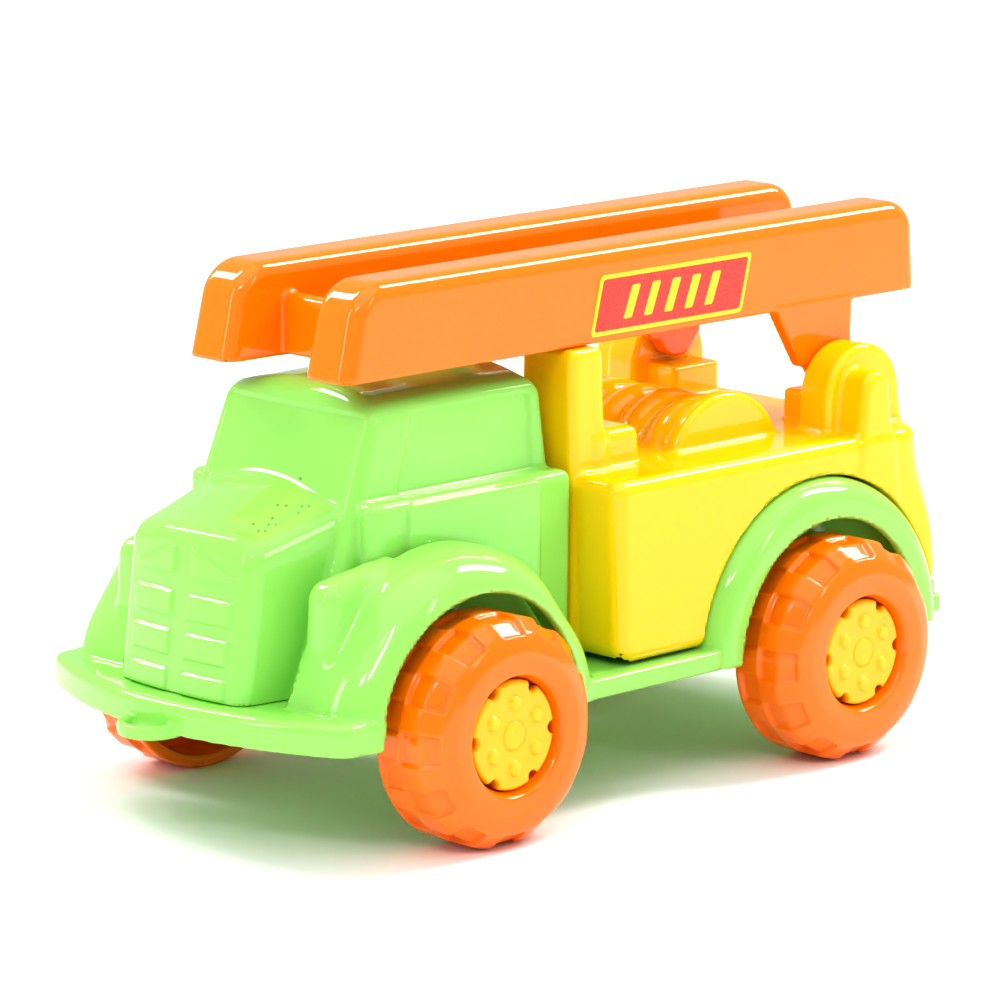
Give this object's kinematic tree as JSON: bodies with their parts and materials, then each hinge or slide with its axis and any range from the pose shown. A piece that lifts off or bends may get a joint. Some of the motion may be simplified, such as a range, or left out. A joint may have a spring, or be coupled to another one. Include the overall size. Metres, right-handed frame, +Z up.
{
  "type": "toy ladder fire truck",
  "caption": "Moulded plastic toy ladder truck with a hollow cab, a deck with posts and a hose reel, a tilting two-rail ladder, and turning wheel sets.",
  "frame": {"origin": "centre of the bounding box in plan, on the ground under the wheels", "axes": "+X to the front, +Y to the left side, +Z up"},
  "size_m": [0.289, 0.154, 0.1565],
  "materials": {
    "green_plastic": "glossy injection-moulded polypropylene",
    "yellow_plastic": "glossy injection-moulded polypropylene",
    "hub_plastic": "glossy injection-moulded polypropylene",
    "wheel_plastic": "glossy injection-moulded polyethylene",
    "ladder_plastic": "glossy injection-moulded polypropylene",
    "label_paper": "printed glossy vinyl label",
    "axle_steel": "drawn zinc-plated steel wire"
  },
  "bodies": {
    "truck_body": {"chassis": "green_plastic", "cab_shell": "green_plastic", "rear_body": "yellow_plastic", "ladder_pin_left": "ladder_plastic", "ladder_pin_right": "ladder_plastic", "body_screws": "axle_steel"},
    "front_wheels": {"front_axle": "axle_steel", "tyre_front_left": "wheel_plastic", "tyre_front_right": "wheel_plastic", "hub_front_left": "hub_plastic", "hub_front_right": "hub_plastic"},
    "rear_wheels": {"rear_axle": "axle_steel", "tyre_rear_left": "wheel_plastic", "tyre_rear_right": "wheel_plastic", "hub_rear_left": "hub_plastic", "hub_rear_right": "hub_plastic"},
    "ladder_frame": {"ladder": "ladder_plastic", "sticker_left": "label_paper", "sticker_right": "label_paper"}
  },
  "joints": [
    {"name": "front_wheels_roll", "type": "hinge", "parent": "truck_body", "child": "front_wheels", "pos_m": [0.0667, 0, 0.033], "axis": [0, 1, 0], "continuous": true},
    {"name": "rear_wheels_roll", "type": "hinge", "parent": "truck_body", "child": "rear_wheels", "pos_m": [-0.0765, 0, 0.033], "axis": [0, 1, 0], "continuous": true},
    {"name": "ladder_tilt", "type": "hinge", "parent": "truck_body", "child": "ladder_frame", "pos_m": [-0.1055, 0, 0.1133], "axis": [0, -1, 0], "range_deg": [0, 60]}
  ]
}
